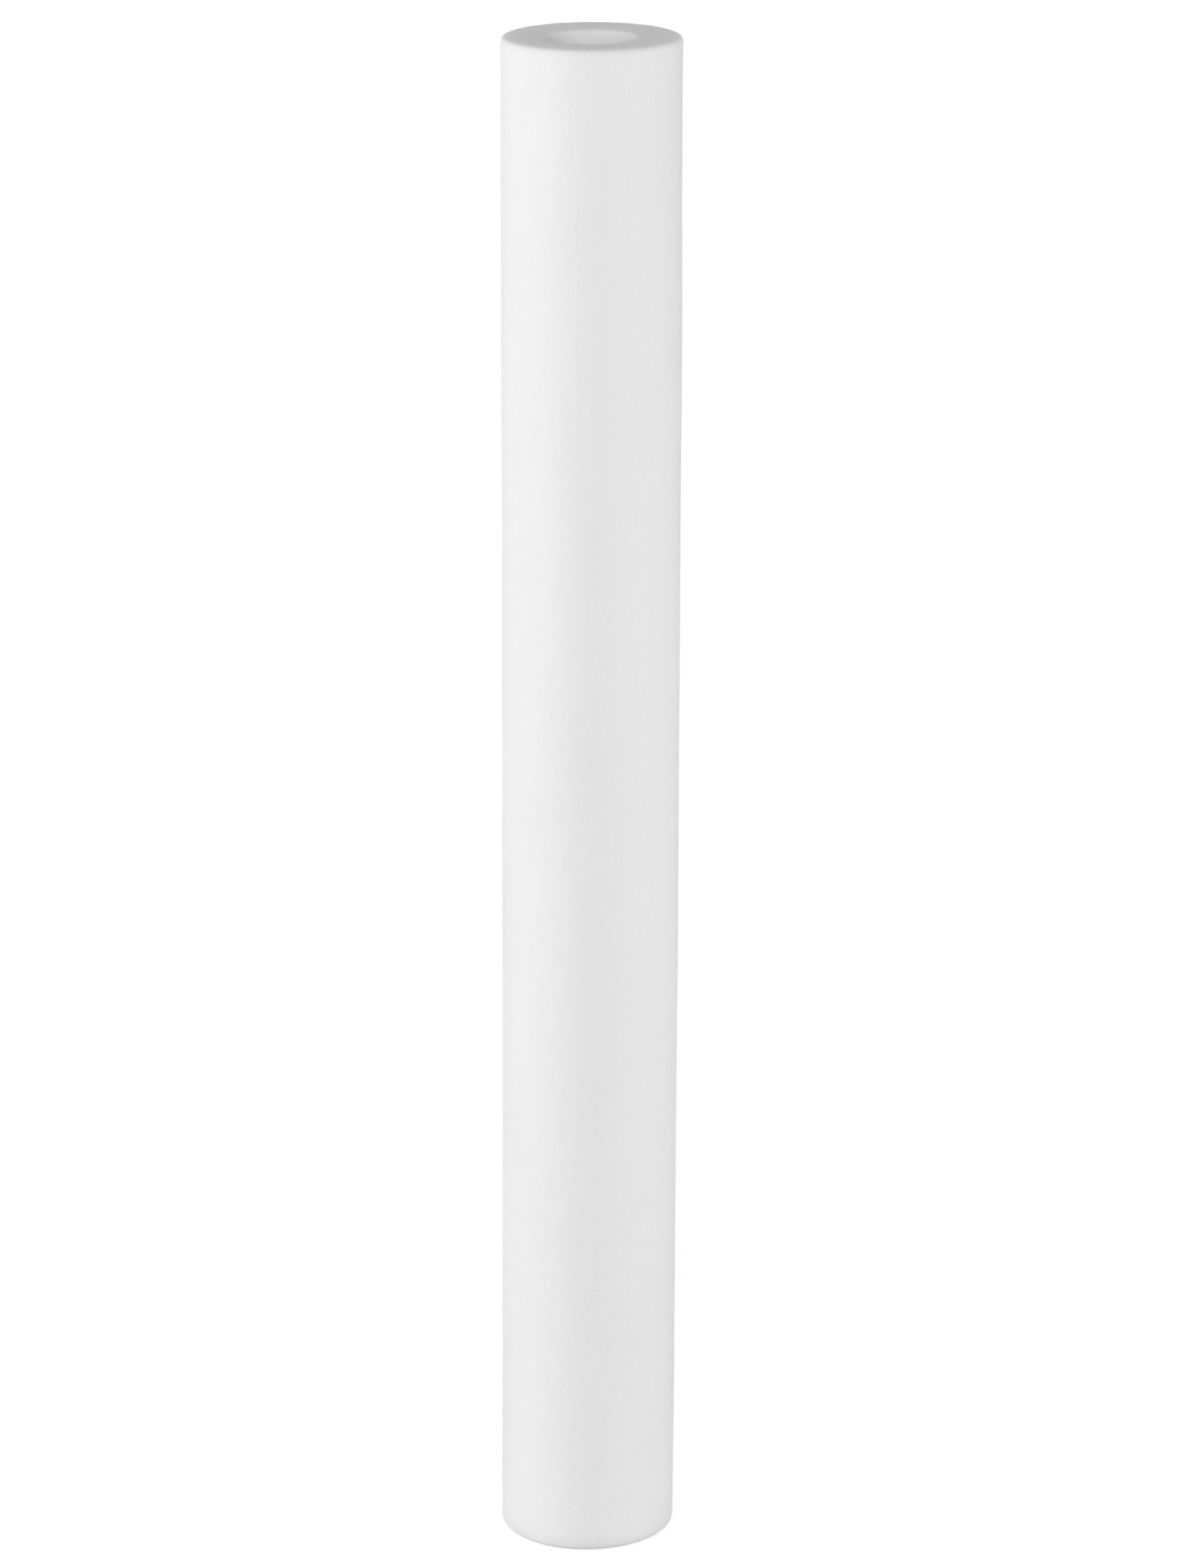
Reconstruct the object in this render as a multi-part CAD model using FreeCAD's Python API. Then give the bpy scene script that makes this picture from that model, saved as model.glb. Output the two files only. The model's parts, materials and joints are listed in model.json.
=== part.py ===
# A sediment filter cartridge for a slim 20 inch water filter housing.
#
# The real thing is one piece: molten polypropylene is blown as fine fibres on to a turning
# mandrel, where they fuse into one thick-walled, porous tube. The tube is drawn off and sawn
# to length. It has no core, no end caps and no gaskets: the ring edges of the housing's lid
# and sump press into its flat sawn ends, and their spigots stand in its bore.
#
# Frame: millimetres. Z runs up the bore. The origin is the centre of the lower sawn end, so
# that the cartridge stands on Z = 0.
import FreeCAD, Part

import math
import os

# Driving dimensions, in millimetres
LENGTH = 508.0  # over the two sawn ends: the 20 inch size
OUTER_DIAMETER = 58.0
BORE_DIAMETER = 28.0  # the mandrel's diameter
OUTER_RIM_ROUNDING = 1.5  # the loose outer fibres give way as the saw passes
BORE_RIM_ROUNDING = 1.2  # the inner web is denser and keeps a tighter edge

# Between a flat end and a wall, the section turns through a quarter of a circle
QUARTER_TURN = math.pi / 2


def section_point(radius, height):
    """A point of the wall's section, which lies in the half plane X > 0, Y = 0."""
    return FreeCAD.Vector(radius, 0, height)


def rounded_corner(radius, height, rounding, start_angle):
    """A quarter arc of the section about (radius, height), as an edge.

    It runs on from start_angle towards the bore at the upper end and away from it at the
    lower end. Angles count from straight outwards, and rise towards the upper end.
    """
    angles = (start_angle, start_angle + QUARTER_TURN / 2, start_angle + QUARTER_TURN)
    start, middle, end = (
        section_point(radius + rounding * math.cos(angle), height + rounding * math.sin(angle))
        for angle in angles
    )
    return Part.Arc(start, middle, end).toShape()


def wall_section():
    """The wall cut through on one side of the bore, as one closed face."""
    outer_wall = OUTER_DIAMETER / 2 - OUTER_RIM_ROUNDING
    bore_wall = BORE_DIAMETER / 2 + BORE_RIM_ROUNDING

    # The four rims, in order round the section from the lower outer one
    rims = [
        rounded_corner(outer_wall, OUTER_RIM_ROUNDING, OUTER_RIM_ROUNDING, -QUARTER_TURN),
        rounded_corner(outer_wall, LENGTH - OUTER_RIM_ROUNDING, OUTER_RIM_ROUNDING, 0),
        rounded_corner(bore_wall, LENGTH - BORE_RIM_ROUNDING, BORE_RIM_ROUNDING, QUARTER_TURN),
        rounded_corner(bore_wall, BORE_RIM_ROUNDING, BORE_RIM_ROUNDING, 2 * QUARTER_TURN),
    ]

    # A straight stretch joins each rim to the next: outside, upper end, bore, lower end
    edges = []
    for rim, next_rim in zip(rims, rims[1:] + rims[:1]):
        start, end = rim.Vertexes[-1].Point, next_rim.Vertexes[0].Point
        edges += [rim, Part.LineSegment(start, end).toShape()]
    return Part.Face(Part.Wire(edges))


def filter_tube():
    """The whole cartridge: its wall section turned once round the bore's axis."""
    axis_point = FreeCAD.Vector(0, 0, 0)
    upwards = FreeCAD.Vector(0, 0, 1)
    return wall_section().revolve(axis_point, upwards, 360)


def export(shape, node):
    """Writes one node's solid as parts/NODE.step, once it is known to be sound."""
    if not shape.isValid() or len(shape.Solids) != 1:
        raise ValueError(f"{node} is not one valid solid")
    shape.exportStep(os.path.join("parts", f"{node}.step"))
    box = shape.optimalBoundingBox()
    print(f"{node}: {box.XLength:.2f} x {box.YLength:.2f} x {box.ZLength:.2f} mm, {shape.Volume:.0f} mm3")


os.makedirs("parts", exist_ok=True)
export(filter_tube(), "filter_tube")
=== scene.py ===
import json
import math

import bpy
import numpy as np
from mathutils import Matrix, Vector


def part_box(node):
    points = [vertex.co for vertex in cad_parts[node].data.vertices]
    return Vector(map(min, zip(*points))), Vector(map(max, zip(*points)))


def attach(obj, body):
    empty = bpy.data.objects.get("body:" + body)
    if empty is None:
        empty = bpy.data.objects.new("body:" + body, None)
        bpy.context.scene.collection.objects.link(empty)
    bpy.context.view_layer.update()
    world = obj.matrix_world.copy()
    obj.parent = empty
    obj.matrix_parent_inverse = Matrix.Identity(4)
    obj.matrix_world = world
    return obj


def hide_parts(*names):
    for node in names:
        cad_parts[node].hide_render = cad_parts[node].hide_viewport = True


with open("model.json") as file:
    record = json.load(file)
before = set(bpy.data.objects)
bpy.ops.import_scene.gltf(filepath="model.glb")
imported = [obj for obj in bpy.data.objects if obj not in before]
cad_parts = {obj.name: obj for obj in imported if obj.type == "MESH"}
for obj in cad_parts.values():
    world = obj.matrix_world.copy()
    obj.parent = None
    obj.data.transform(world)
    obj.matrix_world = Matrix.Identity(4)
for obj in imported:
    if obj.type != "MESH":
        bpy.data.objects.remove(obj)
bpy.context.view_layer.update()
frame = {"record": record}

# Filter tube
# One thick-walled tube of fine polypropylene fibres, blown molten on to a turning mandrel, where
# they fuse as they cross, then drawn off endwise and sawn to length. Its outermost fibres lie
# nearly along it, and its flat sawn ends have soft rims.
MM = 0.001
tube_low, tube_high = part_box("filter_tube")
bore_mount = next(m for m in frame["record"]["mounts"] if m["name"] == "bore")
LENGTH = tube_high.z - tube_low.z
OUTER_RADIUS = tube_high.x
BORE_RADIUS = bore_mount["dims"]["r_mm"] * MM
OUTER_RIM = 1.5 * MM
BORE_RIM = 1.4 * MM

COLUMNS = 280  # round the tube
OUTER_ROWS = 228  # up the outer wall
BORE_ROWS = 62
RIM_ROWS = 8  # round each rim's quarter circle
END_ROWS = 12  # from rim to rim over a sawn end

BOW = 0.4 * MM  # how far the middle stands towards +X from a straight line through the ends
LOWER_CUT_SLOPE = 0.013  # the lower end's rise towards +X, as a share of the way across
UPPER_CUT_SLOPES = (0.005, -0.002)  # the upper end's rise towards +X and towards +Y
END_DISH = 0.45 * MM  # how far a sawn end sinks towards the bore, where the saw bends the web

# Relief in the mesh: wavelengths round the tube, wavelengths up it or inwards, and depth
LUMPS = {"across": (40 * MM, 180 * MM), "along": (60 * MM, 220 * MM), "depth": 0.06 * MM, "count": 24}
STRANDS = {"across": (2.6 * MM, 8 * MM), "along": (14 * MM, 60 * MM), "depth": 0.018 * MM, "count": 90}
GRAIN = {"across": (3 * MM, 14 * MM), "along": (3 * MM, 12 * MM), "depth": 0.03 * MM, "count": 90}
BORE_STRANDS = 0.4  # the share of the strands' depth that the mandrel leaves in the bore

# Relief in the material, whose places are in millimetres and noise scales in waves a millimetre
STRAND_RELIEF = 0.62 * MM
STRAND_LEAN = 0.15  # how far a strand goes round the tube for each unit that it rises
STRAND_WIDTH = 0.8
STRAND_DETAIL = 2.0
STRAND_ROUGHNESS = 0.55
LONG_STRAND = 7.0  # how many times its width a strand's pattern is drawn out upwards
SHORT_STRAND = 2.4
DRIFT_SCALE = 0.03
DRIFT_PUSH = (12.0, 12.0, 0.0)
TANGLE_SCALE = 0.25
TANGLE_PUSH = (2.5, 2.5, 2.5)
CUT_SCALE = 1.8
CHANGE_FROM = 40.0  # the web changes evenly from this height to the next one
CHANGE_TO = 480.0
LONG_SHARE = (0.4, 0.7)  # how much of the relief is long strands, low down and high up
RELIEF_SHARE = (1.0, 0.68)  # how much of the relief's depth shows, low down and high up

WEB_WHITE = (0.872, 0.878)
CLOUD_SCALE = 0.12
# Painted light: the bore's colour is made whiter than the web's, standing in for light that scatters
# through the wall and bounces about inside the bore.
BORE_PAINTED_LIGHT = 0.92
# Painted shade: the sawn ends' colour is made greyer, standing in for the weaker light on the upper
# end and the shade inside its open cut fibres.
SAWN_PAINTED_SHADE = 0.81
RIM_POWER = 3.0  # keeps the bore's painted light and the sawn ends' painted shade off most of the rims
WEB_ROUGHNESS = (0.8, 0.95)
WEB_IOR = 1.49
SCATTER_SHARE = 0.8
SCATTER_REACH = 8.0 * MM


def section_outline():
    """Points round the wall's section, and which part of it each belongs to.

    The closed outline runs up the outer wall, over the upper end, down the bore and back over
    the lower end. Between the four straight stretches the rims are quarter circles. Returns
    radius, height, the outline's outward direction (radial, upwards), and the share of each
    point that is sawn end and that is bore: both turn evenly from 0 to 1 over the rims.
    """
    quarter = (np.arange(RIM_ROWS) + 0.5) / RIM_ROWS
    stretches = []

    def straight(start, end, rows, way, sawn, bore):
        share = (np.arange(rows) / (rows - 1))[:, None]
        points = np.array(start) + share * (np.array(end) - np.array(start))
        stretches.append(np.column_stack([points, np.tile([*way, sawn, bore], (rows, 1))]))

    def rim(centre, radius, start_angle, sawn, bore):
        angle = start_angle + quarter * math.pi / 2
        way = np.column_stack([np.cos(angle), np.sin(angle)])
        stretches.append(np.column_stack([np.array(centre) + radius * way, way, sawn, bore]))

    wall, inner = OUTER_RADIUS - OUTER_RIM, BORE_RADIUS + BORE_RIM
    none = np.zeros(RIM_ROWS)
    straight((OUTER_RADIUS, OUTER_RIM), (OUTER_RADIUS, LENGTH - OUTER_RIM), OUTER_ROWS, (1, 0), 0, 0)
    rim((wall, LENGTH - OUTER_RIM), OUTER_RIM, 0, quarter, none)
    straight((wall, LENGTH), (inner, LENGTH), END_ROWS, (0, 1), 1, 0)
    rim((inner, LENGTH - BORE_RIM), BORE_RIM, math.pi / 2, 1 - quarter, quarter)
    straight((BORE_RADIUS, LENGTH - BORE_RIM), (BORE_RADIUS, BORE_RIM), BORE_ROWS, (-1, 0), 0, 1)
    rim((inner, BORE_RIM), BORE_RIM, math.pi, quarter, 1 - quarter)
    straight((inner, 0), (wall, 0), END_ROWS, (0, -1), 1, 0)
    rim((wall, OUTER_RIM), OUTER_RIM, -math.pi / 2, 1 - quarter, none)
    return np.concatenate(stretches).T


def closed_waves(angle, height, rng, across, along, depth, count):
    """A rough surface's height: a sum of plane waves that close on themselves round the tube.

    Each wave has a whole number of periods round the tube, near the circumference divided by
    a wavelength drawn between the two values of across. It leans by a wavelength up the tube
    drawn between the two values of along, to either side. All have a random phase and the
    same size, so that their sum has depth as its standard deviation.
    """
    circumference = 2 * math.pi * OUTER_RADIUS
    periods = np.round(circumference / rng.uniform(*across, count))
    rises = 2 * math.pi / rng.uniform(*along, count) * rng.choice([-1, 1], count)
    phases = rng.uniform(0, 2 * math.pi, count)
    total = np.zeros(np.broadcast(angle, height).shape)
    for period, rise, phase in zip(periods, rises, phases):
        total += np.cos(period * angle + rise * height + phase)
    return total * depth * math.sqrt(2 / count)


def tube_mesh():
    """The whole tube as one closed grid: its section's outline, carried round the axis.

    A point at angle a has x = r cos a, y = r sin a. The relief moves it along the outline's
    outward direction, and the dish sinks a sawn end by the square of the way in from its outer
    rim. A plane through one edge tilts each cut: it moves a point up or down by x and y times
    its slopes, all of that at its own end and none at the other. The bow then moves the point
    towards +X by a parabola of its height.
    """
    rng = np.random.default_rng(20)
    radius, height, way_out, way_up, sawn, bore = (v[:, None] for v in section_outline())
    angle = np.arange(COLUMNS) * 2 * math.pi / COLUMNS
    outer = (1 - sawn) * (1 - bore)

    lumps = closed_waves(angle, height, rng, **LUMPS)
    strands = closed_waves(angle, height, rng, **STRANDS)
    grain = closed_waves(angle, radius, rng, **GRAIN)
    relief = outer * (lumps + strands) + sawn * grain + bore * BORE_STRANDS * strands

    edge = OUTER_RADIUS - OUTER_RIM
    way_in = np.clip((edge - radius) / (edge - BORE_RADIUS), 0, 1)
    dish = END_DISH * way_in**2 * sawn
    r = radius + relief * way_out
    z = height + (relief - dish) * way_up
    x, y = r * np.cos(angle), r * np.sin(angle)
    z = z + LOWER_CUT_SLOPE * (x + OUTER_RADIUS) * (1 - height / LENGTH)
    rise_x, rise_y = UPPER_CUT_SLOPES
    z = z + (rise_x * (x - OUTER_RADIUS) + rise_y * (y + OUTER_RADIUS)) * height / LENGTH
    x = x + BOW * (1 - (2 * height / LENGTH - 1) ** 2)
    z = np.clip(z, 0, LENGTH)

    rows = len(radius)
    points = np.stack([x, y, z], axis=-1).reshape(-1, 3)
    row, column = np.meshgrid(np.arange(rows), np.arange(COLUMNS), indexing="ij")
    next_row, next_column = (row + 1) % rows, (column + 1) % COLUMNS
    corners = ((row, column), (row, next_column), (next_row, next_column), (next_row, column))
    faces = np.stack([at_row * COLUMNS + at_column for at_row, at_column in corners], axis=-1)
    faces = faces.reshape(-1, 4)

    mesh = bpy.data.meshes.new("filter_web")
    mesh.from_pydata(points, [], faces)
    mesh.polygons.foreach_set("use_smooth", np.ones(len(faces), bool))
    for name, values in (("sawn", sawn), ("bore", bore)):
        attribute = mesh.attributes.new(name, "FLOAT", "POINT")
        attribute.data.foreach_set("value", np.repeat(values, COLUMNS).astype(np.float32))
    mesh.validate()
    return mesh


def node_maker(tree):
    """A function that adds a node of one kind with settings, and links or sets its inputs."""

    def make(kind, inputs=None, **settings):
        node = tree.nodes.new(kind)
        for name, value in settings.items():
            setattr(node, name, value)
        for name, value in (inputs or {}).items():
            if isinstance(value, bpy.types.NodeSocket):
                tree.links.new(value, node.inputs[name])
            else:
                node.inputs[name].default_value = value
        return node

    return make


def fibre_material():
    """White fibre web: matt, a little translucent, with fine strands lying mostly upwards.

    Strands are a noise drawn out upwards. They lie on a steep helix and wander, so the noise is
    read from a place that is turned back with height and pushed sideways by a slow noise. The
    short ones are also tangled by a quicker noise. Sawn ends show cut fibres instead.
    """
    material = bpy.data.materials.new("melt_blown_fibre")
    material.use_nodes = True
    tree = material.node_tree
    tree.nodes.clear()
    make = node_maker(tree)

    def number(operation, *inputs):
        return make("ShaderNodeMath", dict(enumerate(inputs)), operation=operation).outputs[0]

    def vector(operation, *inputs):
        return make("ShaderNodeVectorMath", dict(enumerate(inputs)), operation=operation).outputs[0]

    def noise(place, scale, detail, roughness=0.5):
        inputs = {"Vector": place, "Scale": scale, "Detail": detail, "Roughness": roughness}
        return make("ShaderNodeTexNoise", inputs).outputs

    def ranged(value, start, end, low, high):
        inputs = {"Value": value, "From Min": start, "From Max": end, "To Min": low, "To Max": high}
        return make("ShaderNodeMapRange", inputs).outputs[0]

    def mixed(share, plain, other):
        return make("ShaderNodeMix", {"Factor": share, "A": plain, "B": other}).outputs[0]

    def pushed(place, push, scale, detail):
        centred = vector("SUBTRACT", noise(in_mm, scale, detail)["Color"], (0.5, 0.5, 0.5))
        return vector("MULTIPLY_ADD", centred, push, place)

    def strands(place, stretch):
        drawn_out = vector("MULTIPLY", place, (1.0, 1.0, 1.0 / stretch))
        return noise(drawn_out, 1.0 / STRAND_WIDTH, STRAND_DETAIL, STRAND_ROUGHNESS)["Fac"]

    place = make("ShaderNodeTexCoord").outputs["Object"]
    in_mm = make("ShaderNodeVectorMath", {0: place, "Scale": 1 / MM}, operation="SCALE").outputs[0]
    height_mm = make("ShaderNodeSeparateXYZ", {0: in_mm}).outputs["Z"]
    sawn = make("ShaderNodeAttribute", attribute_name="sawn").outputs["Fac"]
    bore = make("ShaderNodeAttribute", attribute_name="bore").outputs["Fac"]

    turn = number("MULTIPLY", height_mm, -STRAND_LEAN / (OUTER_RADIUS / MM))
    turned = make("ShaderNodeVectorRotate", {"Vector": in_mm, "Angle": turn}, rotation_type="Z_AXIS")
    wandering = pushed(turned.outputs[0], DRIFT_PUSH, DRIFT_SCALE, 0.0)
    tangled = pushed(wandering, TANGLE_PUSH, TANGLE_SCALE, 1.0)
    long_strands = strands(wandering, LONG_STRAND)
    short_strands = strands(tangled, SHORT_STRAND)
    cut_fibres = noise(in_mm, CUT_SCALE, 3.0)["Fac"]

    long_share = ranged(height_mm, CHANGE_FROM, CHANGE_TO, *LONG_SHARE)
    height = mixed(sawn, mixed(long_share, short_strands, long_strands), cut_fibres)
    strength = ranged(height_mm, CHANGE_FROM, CHANGE_TO, *RELIEF_SHARE)
    relief = {"Strength": strength, "Distance": STRAND_RELIEF, "Height": height}
    bump = make("ShaderNodeBump", relief).outputs[0]

    cloud = noise(in_mm, CLOUD_SCALE, 3.0)["Fac"]
    shade = ranged(cloud, 0.3, 0.7, *WEB_WHITE)
    # Painted light: the bore is painted whiter, for the light that reaches it through the wall and by
    # bouncing inside.
    shade = mixed(number("POWER", bore, RIM_POWER), shade, BORE_PAINTED_LIGHT)
    # Painted shade: the sawn ends are painted greyer, for the weak light from above and the shade
    # among their cut fibres.
    shade = mixed(number("POWER", sawn, RIM_POWER), shade, SAWN_PAINTED_SHADE)
    colour = make("ShaderNodeCombineColor", {"Red": shade, "Green": shade, "Blue": shade}).outputs[0]
    rough = ranged(short_strands, 0.0, 1.0, *WEB_ROUGHNESS)

    web = make("ShaderNodeBsdfPrincipled", {"Base Color": colour, "Roughness": rough, "Normal": bump})
    web.inputs["IOR"].default_value = WEB_IOR
    web.inputs["Subsurface Weight"].default_value = SCATTER_SHARE
    web.inputs["Subsurface Radius"].default_value = (1.0, 1.0, 1.0)
    web.inputs["Subsurface Scale"].default_value = SCATTER_REACH
    make("ShaderNodeOutputMaterial", {"Surface": web.outputs[0]})
    return material


tube = bpy.data.objects.new("filter_web", tube_mesh())
bpy.context.scene.collection.objects.link(tube)
tube.data.materials.append(fibre_material())
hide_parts("filter_tube")
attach(tube, "root")

# Floor and surroundings
# The cartridge stands on a plain white floor under an even white sky. The camera sees both as
# pure white, and the floor keeps the cartridge's soft shadow.
FLOOR_HALF = 8.0
FLOOR_WHITE = 0.88
FLOOR_GLOW = (0.49, 0.665)  # what the camera sees on top of the floor's own light, near and far
FAR_AWAY = 3.3  # the distance from the foot at which the floor's glow is the far one
SKY = 0.433  # how strongly the sky lights the cartridge, where 1 is white


def seen_by_camera(make):
    """1 for rays by which the camera sees a thing, straight, mirrored or through glass, else 0."""
    path = make("ShaderNodeLightPath").outputs
    seen = path["Is Camera Ray"]
    for other in ("Is Glossy Ray", "Is Transmission Ray"):
        seen = make("ShaderNodeMath", {0: seen, 1: path[other]}, operation="MAXIMUM").outputs[0]
    return seen


def floor_material():
    """Matt white paint, and a glow for the camera alone that brings the lit floor up to white."""
    material = bpy.data.materials.new("floor_paint")
    material.use_nodes = True
    material.node_tree.nodes.clear()
    make = node_maker(material.node_tree)
    paint = make("ShaderNodeBsdfDiffuse", {"Color": (FLOOR_WHITE, FLOOR_WHITE, FLOOR_WHITE, 1)})
    place = make("ShaderNodeTexCoord").outputs["Object"]
    away = make("ShaderNodeVectorMath", {0: place}, operation="LENGTH").outputs["Value"]
    near, far = FLOOR_GLOW
    growth = {"Value": away, "From Max": FAR_AWAY, "To Min": near, "To Max": far}
    glow = make("ShaderNodeMapRange", growth).outputs[0]
    shown = make("ShaderNodeMath", {0: seen_by_camera(make), 1: glow}, operation="MULTIPLY")
    shine = make("ShaderNodeEmission", {"Strength": shown.outputs[0]})
    both = make("ShaderNodeAddShader", {0: paint.outputs[0], 1: shine.outputs[0]})
    make("ShaderNodeOutputMaterial", {"Surface": both.outputs[0]})
    return material


floor_mesh = bpy.data.meshes.new("floor")
floor_sides = ((-1, -1), (1, -1), (1, 1), (-1, 1))
floor_corners = [(x * FLOOR_HALF, y * FLOOR_HALF, 0) for x, y in floor_sides]
floor_mesh.from_pydata(floor_corners, [], [(0, 1, 2, 3)])
floor_mesh.materials.append(floor_material())
floor = bpy.data.objects.new("floor", floor_mesh)
bpy.context.scene.collection.objects.link(floor)

world = bpy.data.worlds.new("sky")
bpy.context.scene.world = world
world.use_nodes = True
world.node_tree.nodes.clear()
make = node_maker(world.node_tree)
strength = make("ShaderNodeMapRange", {"Value": seen_by_camera(make), "To Min": SKY, "To Max": 1.0})
sky = make("ShaderNodeBackground", {"Color": (1, 1, 1, 1), "Strength": strength.outputs[0]})
make("ShaderNodeOutputWorld", {"Surface": sky.outputs[0]})

# Lamps
# A large soft box stands low on the left and a small near one low on the right, both a little
# behind the cartridge, and a tall one lights it from high in front. The upper end, which none
# of them faces, stays greyer.


def soft_box(name, turn, distance, middle, size, power):
    """A soft box that looks level at the axis. It stands turned by so many degrees to the
    camera's right from straight in front, and its middle is so high over the floor."""
    lamp = bpy.data.lights.new(name, "AREA")
    lamp.shape = "RECTANGLE"
    lamp.size, lamp.size_y = size
    lamp.energy = power
    box = bpy.data.objects.new(name, lamp)
    way = math.radians(turn)
    box.location = (distance * math.sin(way), -distance * math.cos(way), middle)
    box.rotation_euler = (math.pi / 2, 0, way)
    box.visible_camera = False
    bpy.context.scene.collection.objects.link(box)


soft_box("left_box", turn=-95, distance=2.5, middle=0.42, size=(1.0, 0.8), power=20.3)
soft_box("right_box", turn=95, distance=1.0, middle=0.16, size=(0.4, 0.28), power=2.4)
soft_box("front_box", turn=-5, distance=4.5, middle=1.9, size=(1.6, 2.0), power=91.5)

# Camera
# It looks down on the cartridge from in front, as the photograph does. Its place comes from a
# pinhole camera fitted to the outlines: how far it stands in front of the axis and above the
# upper end, how steeply it looks down, and its slight roll.
CAMERA_DISTANCE = 1.8201
CAMERA_ASIDE = -0.15 * MM
CAMERA_ABOVE_END = 0.2986
CAMERA_PITCH = math.radians(16.69)
CAMERA_ROLL = math.radians(0.166)
FOCAL_PIXELS = 7381.0
FRAME_HEIGHT = 2000
SENSOR = 36.0  # millimetres along the frame's long side

camera_data = bpy.data.cameras.new("camera")
camera_data.sensor_width = SENSOR
camera_data.lens = SENSOR * FOCAL_PIXELS / FRAME_HEIGHT
camera = bpy.data.objects.new("camera", camera_data)
look = Matrix.Rotation(math.pi / 2 - CAMERA_PITCH, 4, "X") @ Matrix.Rotation(CAMERA_ROLL, 4, "Z")
camera.rotation_euler = look.to_euler()
camera.location = (CAMERA_ASIDE, -CAMERA_DISTANCE, LENGTH + CAMERA_ABOVE_END)
bpy.context.scene.collection.objects.link(camera)
bpy.context.scene.camera = camera
bpy.context.scene.view_settings.view_transform = "Standard"
